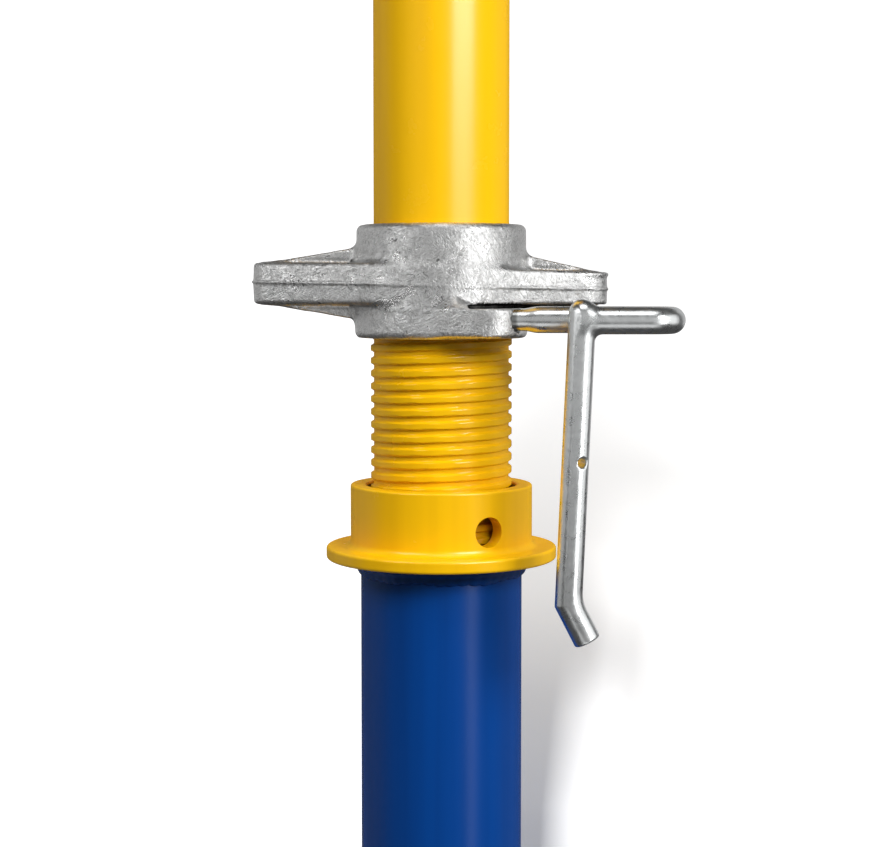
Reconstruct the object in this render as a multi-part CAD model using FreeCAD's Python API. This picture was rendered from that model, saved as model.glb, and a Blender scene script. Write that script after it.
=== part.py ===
"""Adjustable steel prop: an outer tube with a flanged guide collar, an inner tube with a thread along it,
and a cast wing nut with a swinging bar handle. Millimetres, +Z up, origin under the base plate's middle."""
import FreeCAD, Part
import math
import os

os.makedirs("parts", exist_ok=True)
V = FreeCAD.Vector
UP = V(0, 0, 1)
RIGHT = V(1, 0, 0)

# End plates, the same at the foot and at the head
PLATE_SIDE = 120.0
PLATE_THICKNESS = 6.0
PLATE_CORNER_R = 8.0
BOLT_SPACING = 84.0
BOLT_HOLE_R = 6.5
NAIL_HOLE_R = 2.5
NAIL_EDGE_MARGIN = 9.0
DRAIN_HOLE_R = 17.5

# Tubes
OUTER_TUBE_R = 38.05
OUTER_TUBE_WALL = 3.2
OUTER_TUBE_LENGTH = 440.0
INNER_TUBE_R = 31.75
INNER_TUBE_WALL = 3.2
INNER_TUBE_LENGTH = 788.0
SEAT_CLEARANCE = 0.2
WELD_LEG = 4.5
COLLAR_WELD_HEIGHT = 8.0

# Thread on the inner tube, drawn as a plain band at the height of its crests
THREAD_DEPTH = 1.8
THREAD_LENGTH = 350.0
THREAD_TOP_IN_NUT = 40.2
THREAD_CLEARANCE = 0.35

# Flanged guide collar on the outer tube
FLANGE_WIDTH = 11.45
FLANGE_THICKNESS = 6.0
SLEEVE_WALL = 7.45
SLEEVE_HEIGHT = 29.0
MOUTH_CLEARANCE = 1.85
GUIDE_HEIGHT = 9.0
COLLAR_FILLET = 3.0
COLLAR_CHAMFER = 0.8
COLLAR_HOLE_R = 7.0
COLLAR_HOLE_HEIGHT = 10.6
COLLAR_HOLE_TURN = 30.5

# Stop ring on the inner tube: it meets the collar from below when the prop is fully out
EXTENSION = 300.0
STOP_RING_HEIGHT = 16.0
STOP_RING_CLEARANCE = 0.6
STOP_WELD_LEG = 2.5

# Cast wing nut, heights counted from its lower face
NUT_RAISE = 69.0
NUT_HEIGHT = 52.5
NUT_WALL = 5.8
BARREL_EDGE_R = 3.0
NUT_MOUTH_CHAMFER = 1.2
LEFT_WING_REACH = 88.4
RIGHT_WING_REACH = 78.0
WING_TIP_R = 12.0
WING_LOW = 15.5
LEFT_WING_HIGH = 35.0
RIGHT_WING_HIGH = 31.0
WING_ROOT_INSET = 0.5
WING_EDGE_R = 2.0

# Ribs along the wings: two on the left wing, above and below it, and one above the right wing
LEFT_RIB_HIGH = 42.0
LEFT_RIB_LOW = 8.5
RIGHT_RIB_HIGH = 38.3
RIB_THICKNESS = 10.0
RIB_FILLET_R = 4.5
RIB_END_MARGIN = 5.0
RIB_SINK = 0.4

# Lug on the nut that carries the handle
LUG_R = 14.5
LUG_OUTSET = 1.93
LUG_TURN = 30.14
LUG_HEIGHT = 14.0
LUG_FOOT = 0.8
SLOT_SETBACK = 9.1
SLOT_DEPTH = 4.7

# Bar handle
BAR_R = 6.0
JOURNAL_R = 5.0
JOURNAL_CLEARANCE = 0.05
JOURNAL_SETBACK = 5.6
BORE_END_CLEARANCE = 0.3
SHOULDER_OVERHANG = 1.2
SHOULDER_TAPER = 7.0
HINGE_SETOUT = 4.5
HINGE_HEIGHT = 9.0
HINGE_LEG_LENGTH = 54.1
LEG_SPACING = 22.0
FRONT_LEG_LENGTH = 29.3
CORNER_RISE = 3.2
LEG_LENGTH = 124.4
LEG_LEAN = 2.5
TIP_TURN = 27.0
TIP_LENGTH = 18.6
WIRE_HOLE_R = 2.0
WIRE_HOLE_DROP = 65.0
WIRE_HOLE_TURN = 30.0

# Keeper pin: upright in the lug, half sunk in a groove round the journal
KEEPER_R = 2.0
KEEPER_INSET = 3.2
KEEPER_SINK = 1.4
KEEPER_CLEARANCE = 0.05
KEEPER_GROOVE_CLEARANCE = 0.15
KEEPER_END_INSET = 0.6

# Heights that follow from the sizes above
COLLAR_Z = PLATE_THICKNESS + OUTER_TUBE_LENGTH
COLLAR_TOP_Z = COLLAR_Z + FLANGE_THICKNESS + SLEEVE_HEIGHT
NUT_Z = COLLAR_TOP_Z + NUT_RAISE
HINGE_Z = NUT_Z + HINGE_HEIGHT
INNER_FOOT_Z = PLATE_THICKNESS + SEAT_CLEARANCE
INNER_TOP_Z = INNER_FOOT_Z + INNER_TUBE_LENGTH
THREAD_END_Z = NUT_Z + THREAD_TOP_IN_NUT
STOP_RING_TOP_Z = COLLAR_Z - EXTENSION

# Radii that follow
OUTER_BORE_R = OUTER_TUBE_R - OUTER_TUBE_WALL
INNER_BORE_R = INNER_TUBE_R - INNER_TUBE_WALL
CREST_R = INNER_TUBE_R + THREAD_DEPTH
GUIDE_R = CREST_R + THREAD_CLEARANCE
COLLAR_MOUTH_R = CREST_R + MOUTH_CLEARANCE
SLEEVE_R = COLLAR_MOUTH_R + SLEEVE_WALL
FLANGE_R = SLEEVE_R + FLANGE_WIDTH
BARREL_R = GUIDE_R + NUT_WALL

# Places that follow, round the lug and along the handle
LUG_X = (BARREL_R + LUG_OUTSET) * math.sin(math.radians(LUG_TURN))
LUG_Y = -(BARREL_R + LUG_OUTSET) * math.cos(math.radians(LUG_TURN))
SLOT_START_X = LUG_X - SLOT_SETBACK
SLOT_FLOOR_Y = SLOT_DEPTH - BARREL_R
HINGE_Y = LUG_Y - HINGE_SETOUT
JOURNAL_END_X = LUG_X - JOURNAL_SETBACK
SHOULDER_X = LUG_X + LUG_R + SHOULDER_OVERHANG
U_BEND_X = SHOULDER_X + HINGE_LEG_LENGTH
CORNER_X = U_BEND_X - FRONT_LEG_LENGTH
FRONT_LEG_Y = HINGE_Y - LEG_SPACING
KEEPER_X = JOURNAL_END_X + KEEPER_INSET
KEEPER_Y = HINGE_Y + JOURNAL_R + KEEPER_R - KEEPER_SINK


def outline_wire(corners):
    """Closed wire in the XZ plane through corners (x, z, size); a size above 0 rounds the corner with an arc
    of that radius, and one below 0 cuts a chamfer of that size."""
    entries = []
    for index, (x, z, size) in enumerate(corners):
        here = V(x, 0, z)
        before = V(corners[index - 1][0], 0, corners[index - 1][1])
        after_x, after_z, _ = corners[(index + 1) % len(corners)]
        back = (before - here).normalize()
        ahead = (V(after_x, 0, after_z) - here).normalize()
        half_angle = back.getAngle(ahead) / 2.0
        setback = size / math.tan(half_angle) if size > 0 else -size
        middle = (back + ahead).normalize()
        arc_depth = size / math.sin(half_angle) - size
        entries.append((here + back * setback, here + middle * arc_depth, here + ahead * setback, size))
    edges = []
    for index, (start, mid, end, size) in enumerate(entries):
        if size > 0:
            edges.append(Part.Arc(start, mid, end).toShape())
        if size < 0:
            edges.append(Part.LineSegment(start, end).toShape())
        following = entries[(index + 1) % len(entries)][0]
        edges.append(Part.LineSegment(end, following).toShape())
    return Part.Wire(edges)


def turned(corners):
    """Solid of revolution about the prop's axis from an outline of (radius, height, corner size)."""
    return Part.Face(outline_wire(corners)).revolve(V(0, 0, 0), UP, 360)


def tube(outer_r, inner_r, base_z, length):
    outside = Part.makeCylinder(outer_r, length, V(0, 0, base_z))
    return outside.cut(Part.makeCylinder(inner_r, length, V(0, 0, base_z)))


def weld_bead(tube_r, seat_z, leg, rise):
    """Bead in the corner between a tube and a flat seat; rise is above 0 over the seat and below 0 under it."""
    return turned([(tube_r, seat_z, 0), (tube_r + leg, seat_z, 0), (tube_r, seat_z + rise, 0)])


def four_corners(offset):
    return [(x, y) for x in (-offset, offset) for y in (-offset, offset)]


def end_plate(base_z):
    """Square plate with rounded corners, four bolt holes and a nail hole in the middle of each side."""
    half = PLATE_SIDE / 2.0
    plate = Part.makeBox(PLATE_SIDE, PLATE_SIDE, PLATE_THICKNESS, V(-half, -half, base_z))
    upright = [edge for edge in plate.Edges if abs(edge.tangentAt(edge.FirstParameter).z) > 0.99]
    plate = plate.makeFillet(PLATE_CORNER_R, upright)
    nail = half - NAIL_EDGE_MARGIN
    for x, y in four_corners(BOLT_SPACING / 2.0):
        plate = plate.cut(Part.makeCylinder(BOLT_HOLE_R, PLATE_THICKNESS, V(x, y, base_z)))
    for x, y in ((nail, 0), (-nail, 0), (0, nail), (0, -nail)):
        plate = plate.cut(Part.makeCylinder(NAIL_HOLE_R, PLATE_THICKNESS, V(x, y, base_z)))
    return plate


def collar_hole_direction():
    turn = math.radians(COLLAR_HOLE_TURN)
    return V(math.sin(turn), -math.cos(turn), 0)


def guide_collar():
    """Flange, sleeve, wide mouth and the guide bore that the thread's crests run in, with one cross hole."""
    flange_top = COLLAR_Z + FLANGE_THICKNESS
    body = turned([
        (GUIDE_R, COLLAR_Z, 0),
        (FLANGE_R, COLLAR_Z, -COLLAR_CHAMFER),
        (FLANGE_R, flange_top, -COLLAR_CHAMFER),
        (SLEEVE_R, flange_top, COLLAR_FILLET),
        (SLEEVE_R, COLLAR_TOP_Z, -COLLAR_CHAMFER),
        (COLLAR_MOUTH_R, COLLAR_TOP_Z, -COLLAR_CHAMFER),
        (COLLAR_MOUTH_R, COLLAR_Z + GUIDE_HEIGHT, 0),
        (GUIDE_R, COLLAR_Z + GUIDE_HEIGHT, 0),
    ])
    hole_z = flange_top + COLLAR_HOLE_HEIGHT
    drill = Part.makeCylinder(COLLAR_HOLE_R, 2.0 * SLEEVE_R, V(0, 0, hole_z), collar_hole_direction())
    return body.cut(drill)


def inner_tube():
    start = THREAD_END_Z - THREAD_LENGTH
    return turned([
        (INNER_BORE_R, INNER_FOOT_Z, 0),
        (INNER_TUBE_R, INNER_FOOT_Z, 0),
        (INNER_TUBE_R, start, 0),
        (CREST_R, start + THREAD_DEPTH, 0),
        (CREST_R, THREAD_END_Z - THREAD_DEPTH, 0),
        (INNER_TUBE_R, THREAD_END_Z, 0),
        (INNER_TUBE_R, INNER_TOP_Z, 0),
        (INNER_BORE_R, INNER_TOP_Z, 0),
    ])


def wing_plate(side, reach, high):
    """Flat wing: its straight flanks run from the barrel to a round tip; side is +1 right and -1 left."""
    root_r = BARREL_R - WING_ROOT_INSET
    tip_x = reach - WING_TIP_R
    lean = math.asin((root_r - WING_TIP_R) / tip_x)
    root = V(side * root_r * math.sin(lean), root_r * math.cos(lean), NUT_Z + WING_LOW)
    shoulder = V(side * (tip_x + WING_TIP_R * math.sin(lean)), WING_TIP_R * math.cos(lean), root.z)
    tip = V(side * reach, 0, root.z)
    root_back = V(root.x, -root.y, root.z)
    shoulder_back = V(shoulder.x, -shoulder.y, root.z)
    outline = Part.Wire([
        Part.LineSegment(root, shoulder).toShape(),
        Part.Arc(shoulder, tip, shoulder_back).toShape(),
        Part.LineSegment(shoulder_back, root_back).toShape(),
        Part.LineSegment(root_back, root).toShape(),
    ])
    plate = Part.Face(outline).extrude(V(0, 0, high - WING_LOW))
    rim = [edge for edge in plate.Edges if is_rim_edge(edge, root.x)]
    return plate.makeFillet(WING_EDGE_R, rim)


def is_rim_edge(edge, root_x):
    """True for the level edges of a wing, apart from those on its inner end."""
    box = edge.BoundBox
    level = box.ZLength < 0.01
    inner_end = box.XLength < 0.01 and abs(box.XMin - root_x) < 0.01
    return level and not inner_end


def wing_rib(side, reach, face, root):
    """Upright rib along a wing, from the height root at the barrel to just inside the wing's face by the
    tip, with a hollow fillet against the barrel."""
    outward = 1 if root > face else -1
    inner_x = side * (BARREL_R - WING_TIP_R)
    root_x = side * (BARREL_R - RIB_SINK)
    tip_x = side * (reach - RIB_END_MARGIN)
    middle = NUT_Z + face - outward * RIB_FILLET_R
    beyond = NUT_Z + root + outward * RIB_FILLET_R
    profile = outline_wire([
        (inner_x, middle, 0),
        (tip_x, middle, 0),
        (tip_x, NUT_Z + face - outward * RIB_SINK, 0),
        (root_x, NUT_Z + root, RIB_FILLET_R),
        (root_x, beyond, 0),
        (inner_x, beyond, 0),
    ])
    rib = Part.Face(profile).extrude(V(0, RIB_THICKNESS, 0))
    return rib.translated(V(0, -RIB_THICKNESS / 2.0, 0))


def handle_lug():
    """Upright lug at the barrel's front right, with flanks tangent to lug and barrel."""
    distance = math.hypot(LUG_X, LUG_Y)
    heading = math.atan2(LUG_Y, LUG_X)
    spread = math.pi / 2.0 - math.asin((BARREL_R - LUG_R) / distance)
    base_z = NUT_Z + LUG_FOOT
    left = V(math.cos(heading - spread), math.sin(heading - spread), 0)
    right = V(math.cos(heading + spread), math.sin(heading + spread), 0)
    centre = V(LUG_X, LUG_Y, base_z)
    axis_point = V(0, 0, base_z)
    front = V(math.cos(heading), math.sin(heading), 0)
    outline = Part.Wire([
        Part.LineSegment(axis_point, axis_point + left * BARREL_R).toShape(),
        Part.LineSegment(axis_point + left * BARREL_R, centre + left * LUG_R).toShape(),
        Part.Arc(centre + left * LUG_R, centre + front * LUG_R, centre + right * LUG_R).toShape(),
        Part.LineSegment(centre + right * LUG_R, axis_point + right * BARREL_R).toShape(),
        Part.LineSegment(axis_point + right * BARREL_R, axis_point).toShape(),
    ])
    return Part.Face(outline).extrude(V(0, 0, LUG_HEIGHT - LUG_FOOT))


def wing_nut():
    barrel = turned([
        (GUIDE_R, NUT_Z, -NUT_MOUTH_CHAMFER),
        (BARREL_R, NUT_Z, BARREL_EDGE_R),
        (BARREL_R, NUT_Z + NUT_HEIGHT, BARREL_EDGE_R),
        (GUIDE_R, NUT_Z + NUT_HEIGHT, -NUT_MOUTH_CHAMFER),
    ])
    branches = [
        wing_plate(-1, LEFT_WING_REACH, LEFT_WING_HIGH),
        wing_rib(-1, LEFT_WING_REACH, LEFT_WING_HIGH, LEFT_RIB_HIGH),
        wing_rib(-1, LEFT_WING_REACH, WING_LOW, LEFT_RIB_LOW),
        wing_plate(1, RIGHT_WING_REACH, RIGHT_WING_HIGH),
        wing_rib(1, RIGHT_WING_REACH, RIGHT_WING_HIGH, RIGHT_RIB_HIGH),
        handle_lug(),
    ]
    nut = barrel.fuse(branches).removeSplitter()
    bore = Part.makeCylinder(GUIDE_R, NUT_HEIGHT, V(0, 0, NUT_Z))
    slot = Part.makeBox(BARREL_R, BARREL_R, WING_LOW - LUG_HEIGHT,
                        V(SLOT_START_X, SLOT_FLOOR_Y - BARREL_R, NUT_Z + LUG_HEIGHT))
    hinge_start = V(JOURNAL_END_X - BORE_END_CLEARANCE, HINGE_Y, HINGE_Z)
    hinge_bore = Part.makeCylinder(JOURNAL_R + JOURNAL_CLEARANCE, BARREL_R, hinge_start, RIGHT)
    keeper_bore = Part.makeCylinder(KEEPER_R + KEEPER_CLEARANCE, LUG_HEIGHT, V(KEEPER_X, KEEPER_Y, NUT_Z))
    return nut.cut([bore, slot, hinge_bore, keeper_bore])


def keeper_pin():
    """Upright pin behind the journal, sunk into its groove by KEEPER_SINK."""
    length = LUG_HEIGHT - LUG_FOOT - 2.0 * KEEPER_END_INSET
    return Part.makeCylinder(KEEPER_R, length, V(KEEPER_X, KEEPER_Y, NUT_Z + LUG_FOOT + KEEPER_END_INSET))


def bar(start, end):
    along = end - start
    return Part.makeCylinder(BAR_R, along.Length, start, along)


def journal():
    """Turned end of the bar: plain journal, keeper groove and the slow taper up to full size."""
    start = V(JOURNAL_END_X, HINGE_Y, HINGE_Z)
    pin = Part.makeCylinder(JOURNAL_R, SHOULDER_X - JOURNAL_END_X, start, RIGHT)
    groove_half = KEEPER_R + KEEPER_GROOVE_CLEARANCE
    groove_r = JOURNAL_R - KEEPER_SINK - KEEPER_GROOVE_CLEARANCE
    groove_start = V(KEEPER_X - groove_half, HINGE_Y, HINGE_Z)
    blank = Part.makeCylinder(BAR_R, 2.0 * groove_half, groove_start, RIGHT)
    groove = blank.cut(Part.makeCylinder(groove_r, 2.0 * groove_half, groove_start, RIGHT))
    taper = Part.makeCone(JOURNAL_R, BAR_R, SHOULDER_TAPER, V(SHOULDER_X, HINGE_Y, HINGE_Z), RIGHT)
    return pin.cut(groove).fuse(taper)


def handle():
    """One bent bar: journal, rear leg, U bend, front leg, forged corner, hanging leg and kinked tip. The
    kink is the part that both straight bars share, so its outer corner is sharp."""
    rear_start = V(SHOULDER_X + SHOULDER_TAPER, HINGE_Y, HINGE_Z)
    rear_end = V(U_BEND_X, HINGE_Y, HINGE_Z)
    front_end = V(U_BEND_X, FRONT_LEG_Y, HINGE_Z)
    corner = V(CORNER_X, FRONT_LEG_Y, HINGE_Z + CORNER_RISE)
    front_start = V(CORNER_X, FRONT_LEG_Y, HINGE_Z)
    bend_axis = V(U_BEND_X, (HINGE_Y + FRONT_LEG_Y) / 2.0, HINGE_Z)
    bend_section = Part.Face(Part.Wire(Part.makeCircle(BAR_R, rear_end, RIGHT)))
    u_bend = bend_section.revolve(bend_axis, V(0, 0, -1), 180)
    lean = math.radians(LEG_LEAN)
    down = V(-math.sin(lean), 0, -math.cos(lean))
    knee = corner + down * (LEG_LENGTH + CORNER_RISE)
    turn = math.radians(TIP_TURN)
    tip_way = V(math.sin(turn), 0, -math.cos(turn))
    tip = knee + tip_way * TIP_LENGTH
    leg_end = bar(knee - down * BAR_R, knee + down * BAR_R)
    tip_start = bar(knee - tip_way * BAR_R, knee + tip_way * BAR_R)
    pieces = [
        bar(rear_start, rear_end), u_bend, bar(front_end, front_start), Part.makeSphere(BAR_R, corner),
        bar(corner, knee), leg_end.common(tip_start), bar(knee, tip),
    ]
    body = journal().fuse(pieces).removeSplitter()
    hole_turn = math.radians(WIRE_HOLE_TURN)
    across = V(math.sin(hole_turn), -math.cos(hole_turn), 0)
    hole_centre = corner + down * WIRE_HOLE_DROP
    drill = Part.makeCylinder(WIRE_HOLE_R, 4.0 * BAR_R, hole_centre - across * 2.0 * BAR_R, across)
    return body.cut(drill)


def stop_ring():
    ring_z = STOP_RING_TOP_Z - STOP_RING_HEIGHT
    return tube(OUTER_BORE_R - STOP_RING_CLEARANCE, INNER_TUBE_R, ring_z, STOP_RING_HEIGHT)


def write(name, shape):
    shape.exportStep("parts/%s.step" % name)
    print("%-18s valid %s, volume %.0f mm3" % (name, shape.isValid(), shape.Volume))


drain = Part.makeCylinder(DRAIN_HOLE_R, PLATE_THICKNESS)
write("base_plate", end_plate(0.0).cut(drain))
write("base_weld", weld_bead(OUTER_TUBE_R, PLATE_THICKNESS, WELD_LEG, WELD_LEG))
write("outer_tube", tube(OUTER_TUBE_R, OUTER_BORE_R, PLATE_THICKNESS, OUTER_TUBE_LENGTH))
write("collar_weld", weld_bead(OUTER_TUBE_R, COLLAR_Z, WELD_LEG, -COLLAR_WELD_HEIGHT))
write("guide_collar", guide_collar())
write("inner_tube", inner_tube())
write("stop_ring", stop_ring())
stop_ring_foot_z = STOP_RING_TOP_Z - STOP_RING_HEIGHT
write("stop_ring_weld", weld_bead(INNER_TUBE_R, stop_ring_foot_z, STOP_WELD_LEG, -STOP_WELD_LEG))
write("head_weld", weld_bead(INNER_TUBE_R, INNER_TOP_Z, WELD_LEG, -WELD_LEG))
write("head_plate", end_plate(INNER_TOP_Z))
write("wing_nut", wing_nut())
write("handle", handle())
write("handle_keeper_pin", keeper_pin())
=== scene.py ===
# %% [markdown]
# # An adjustable steel prop
# A building site's prop is two steel tubes, one inside the other. The inner tube is threaded, and a cast
# wing nut on it comes to rest on a flanged collar at the outer tube's mouth. This file dresses the packed
# model: each piece is rebuilt as a finer surface in the same place, and gets its paint or its zinc.
#
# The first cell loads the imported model.

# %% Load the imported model
import math

import bpy
import numpy as np
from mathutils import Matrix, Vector


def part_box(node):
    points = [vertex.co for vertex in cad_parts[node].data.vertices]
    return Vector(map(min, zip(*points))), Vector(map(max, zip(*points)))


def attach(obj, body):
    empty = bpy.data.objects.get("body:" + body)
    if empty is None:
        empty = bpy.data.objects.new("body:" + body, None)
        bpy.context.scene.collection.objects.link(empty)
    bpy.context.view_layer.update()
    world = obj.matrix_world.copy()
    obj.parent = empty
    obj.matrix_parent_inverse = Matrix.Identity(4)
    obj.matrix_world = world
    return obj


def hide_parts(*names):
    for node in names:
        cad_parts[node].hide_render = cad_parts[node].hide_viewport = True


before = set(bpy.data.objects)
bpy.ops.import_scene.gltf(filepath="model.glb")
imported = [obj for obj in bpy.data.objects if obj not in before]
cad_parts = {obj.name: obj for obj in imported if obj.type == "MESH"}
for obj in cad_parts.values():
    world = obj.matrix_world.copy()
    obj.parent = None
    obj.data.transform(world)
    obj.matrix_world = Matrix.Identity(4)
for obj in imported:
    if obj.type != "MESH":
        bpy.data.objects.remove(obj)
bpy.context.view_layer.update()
MM = 0.001
TURN = 2.0 * math.pi

# %% [markdown]
# ## Sizes
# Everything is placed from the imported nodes' own boxes, so nothing has to be fitted by eye. Only what the
# solids leave out gets a size here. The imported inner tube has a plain, thicker stretch where the thread is,
# a little wider than the crests, so the tube's own radius is that of the box less a named step.

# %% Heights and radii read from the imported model


def z_range(node):
    """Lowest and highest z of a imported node's box."""
    low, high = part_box(node)
    return low.z, high.z


FOOT_Z = z_range("base_plate")[0]
TUBE_FOOT_Z, COLLAR_Z = z_range("outer_tube")
COLLAR_TOP_Z = z_range("guide_collar")[1]
NUT_Z, NUT_TOP_Z = z_range("wing_nut")
INNER_FOOT_Z, INNER_TOP_Z = z_range("inner_tube")
OUTER_TUBE_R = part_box("outer_tube")[1].x
FLANGE_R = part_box("guide_collar")[1].x
CREST_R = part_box("inner_tube")[1].x
CREST_OVER_TUBE = 1.8 * MM
INNER_TUBE_R = CREST_R - CREST_OVER_TUBE
THREAD_DEPTH = 1.45 * MM
TUBE_WALL = 3.2 * MM
NUT_CENTRE = Vector((0.0, 0.0, (NUT_Z + NUT_TOP_Z) / 2.0))
print("nut from %.4f to %.4f m, tube radius %.5f m" % (NUT_Z, NUT_TOP_Z, INNER_TUBE_R))

# %% [markdown]
# ## From arrays to pieces
# A mesh could be built face by face with Blender's own operators. Here it comes from two arrays instead,
# one of points and one of faces, because whole arrays are quick and say plainly what the shape is. The
# signed volume tells whether the faces point outwards, and turns them round if they don't.

# %% Make a piece of points and quads


def signed_volume(points, quads):
    """Sum over faces of one sixth of the triple product of their corners; positive if they face outwards."""
    a, b, c, d = (points[quads[:, k]] for k in range(4))
    return float((np.cross(a, b) * c).sum() + (np.cross(a, c) * d).sum()) / 6.0


def settle(piece, body, node):
    """Rides the piece on its body and hides the node that it stands for."""
    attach(piece, body)
    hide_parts(node)


def add_piece(name, points, quads, body, node, material, sharp_angle=40.0):
    """Makes a mesh object of quads, smooth but for edges sharper than sharp_angle, and settles it."""
    if signed_volume(points, quads) < 0:
        quads = quads[:, ::-1]
    mesh = bpy.data.meshes.new(name)
    mesh.from_pydata(points.tolist(), [], quads.tolist())
    mesh.update()
    mesh.shade_smooth()
    mesh.set_sharp_from_angle(angle=math.radians(sharp_angle))
    mesh.materials.append(material)
    piece = bpy.data.objects.new(name, mesh)
    bpy.context.scene.collection.objects.link(piece)
    settle(piece, body, node)
    print("%-18s %7d faces, %8.1f cm3" % (name, len(quads), abs(signed_volume(points, quads)) * 1e6))
    return piece


# %% [markdown]
# ## Turned pieces
# Most pieces here are turned: a closed outline of (radius, height) goes once round the prop's axis. The
# Screw modifier could do it, but a grid of rows by columns can also hold a radius that changes with the
# angle, as a thread and a weld bead need. The grid wraps round both ways, so it has no edge and no pole.

# %% Grids that go round an axis


def wrapped_quads(rows, columns):
    """Point (i, j) is joined to (i, j+1), (i+1, j+1) and (i+1, j), and both counts wrap round."""
    i, j = np.meshgrid(np.arange(rows), np.arange(columns), indexing="ij")
    i_next, j_next = (i + 1) % rows, (j + 1) % columns
    corners = [i * columns + j, i * columns + j_next, i_next * columns + j_next, i_next * columns + j]
    return np.stack([corner.ravel() for corner in corners], axis=1)


def turned_points(radius, height, columns):
    """Point = (r cos a, r sin a, z): radius and height are arrays of rows, or of rows by columns."""
    angle = np.linspace(0.0, TURN, columns, endpoint=False)[None, :]
    radius, height = np.atleast_2d(np.asarray(radius).T).T, np.atleast_2d(np.asarray(height).T).T
    x, y = radius * np.cos(angle), radius * np.sin(angle)
    z = np.broadcast_to(height, (len(radius), columns))
    return np.stack([x, y, z], axis=-1).reshape(-1, 3)


# %% [markdown]
# No edge of a real piece is quite sharp, and a rounded one catches the light. So each corner of an outline
# comes with a radius, and the corner is replaced by an arc that touches both sides.

# %% Outlines with rounded corners


def rounded_outline(corners, steps=7, margin=0.35 * MM):
    """Closed outline through corners (r, z, radius). Each corner's arc is centred where both sides are one
    radius away. A point just before and just after it keeps the shading of the flat stretches flat."""
    corner = np.array(corners, float)
    here, radius = corner[:, :2], corner[:, 2:3]
    back, ahead = np.roll(here, 1, 0) - here, np.roll(here, -1, 0) - here
    back /= np.linalg.norm(back, axis=1, keepdims=True)
    ahead /= np.linalg.norm(ahead, axis=1, keepdims=True)
    half = np.arccos(np.clip((back * ahead).sum(1, keepdims=True), -1, 1)) / 2.0
    setback = radius / np.tan(half)
    middle = (back + ahead) / np.linalg.norm(back + ahead, axis=1, keepdims=True)
    centre = here + middle * radius / np.sin(half)
    start, end = here + back * setback - centre, here + ahead * setback - centre
    share = np.linspace(0.0, 1.0, steps)[None, :, None]
    sweep = np.pi - 2.0 * half[:, None, :]
    from_start, from_end = np.sin((1 - share) * sweep), np.sin(share * sweep)
    arc = (from_start * start[:, None] + from_end * end[:, None]) / np.sin(sweep)
    before = (here + back * (setback + margin))[:, None]
    after = (here + ahead * (setback + margin))[:, None]
    return np.concatenate([before, centre[:, None] + arc, after], axis=1).reshape(-1, 2)


def turned_piece(name, corners, columns, body, node, material):
    """A closed outline of (r, z, corner radius) turned once round the prop's axis."""
    outline = rounded_outline(corners)
    points = turned_points(outline[:, 0], outline[:, 1], columns)
    return add_piece(name, points, wrapped_quads(len(outline), columns), body, node, material)


# %% [markdown]
# ## Paint
# The tubes have a glossy powder coat. Powder melts and flows before it sets, which leaves a faint orange
# peel, so the material is a smooth dielectric with a very small bump, and a slow drift of colour and
# gloss. An image could carry all this, but noise in Object coordinates needs no UV map, and it stays put
# because every piece sits at the origin.

# %% Node helpers


def node_material(name):
    """A new material, its tree, and the surface shader that it starts with."""
    material = bpy.data.materials.new(name)
    material.use_nodes = True
    tree = material.node_tree
    return material, tree, tree.nodes["Principled BSDF"]


def add_node(tree, kind, **settings):
    """Adds a node; a setting named like an input goes to that input, and any other to the node itself."""
    node = tree.nodes.new(kind)
    for name, value in settings.items():
        label = name.replace("_", " ")
        if label in node.inputs:
            node.inputs[label].default_value = value
        else:
            setattr(node, name, value)
    return node


def mapped_noise(tree, mapping, **settings):
    """Noise over Object coordinates, as the mapping node stretches and turns them; returns its Fac socket."""
    coordinates = add_node(tree, "ShaderNodeTexCoord")
    noise = add_node(tree, "ShaderNodeTexNoise", **settings)
    tree.links.new(coordinates.outputs["Object"], mapping.inputs["Vector"])
    tree.links.new(mapping.outputs["Vector"], noise.inputs["Vector"])
    return noise.outputs["Fac"]


def object_noise(tree, scale, detail=4.0, roughness=0.55, stretch=(1.0, 1.0, 1.0), distortion=0.0):
    """Noise at place times stretch times scale, so a small stretch draws it out along that axis."""
    mapping = add_node(tree, "ShaderNodeMapping", Scale=stretch)
    return mapped_noise(tree, mapping, Scale=scale, Detail=detail, Roughness=roughness, Distortion=distortion)


def object_height(tree):
    """Socket with the height above the prop's foot, in metres."""
    axes = add_node(tree, "ShaderNodeSeparateXYZ")
    tree.links.new(add_node(tree, "ShaderNodeTexCoord").outputs["Object"], axes.inputs["Vector"])
    return axes.outputs["Z"]


def ramp(tree, fac, *stops):
    """Colour ramp over fac, straight from stop to stop; each stop is (position, grey or colour)."""
    node = add_node(tree, "ShaderNodeValToRGB")
    elements = node.color_ramp.elements
    for k, (position, colour) in enumerate(stops):
        element = elements[k] if k < 2 else elements.new(position)
        element.position = position
        element.color = (colour,) * 3 + (1.0,) if isinstance(colour, float) else (*colour, 1.0)
    tree.links.new(fac, node.inputs["Fac"])
    return node.outputs["Color"]


def blend(tree, way, fac, first, second):
    """Colour mix node: MIX goes from first to second by fac, and MULTIPLY is their product."""
    node = add_node(tree, "ShaderNodeMix", data_type="RGBA", blend_type=way)
    node.inputs["Factor"].default_value = 1.0
    if fac is not None:
        tree.links.new(fac, node.inputs["Factor"])
    tree.links.new(first, node.inputs[6])
    tree.links.new(second, node.inputs[7])
    return node.outputs[2]


def bump(tree, height, strength, distance, after=None):
    """Tilts the normal as if the surface stood out by height times distance, on top of the bump after."""
    node = add_node(tree, "ShaderNodeBump", Strength=strength, Distance=distance)
    tree.links.new(height, node.inputs["Height"])
    if after is not None:
        tree.links.new(after, node.inputs["Normal"])
    return node.outputs["Normal"]
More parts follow.
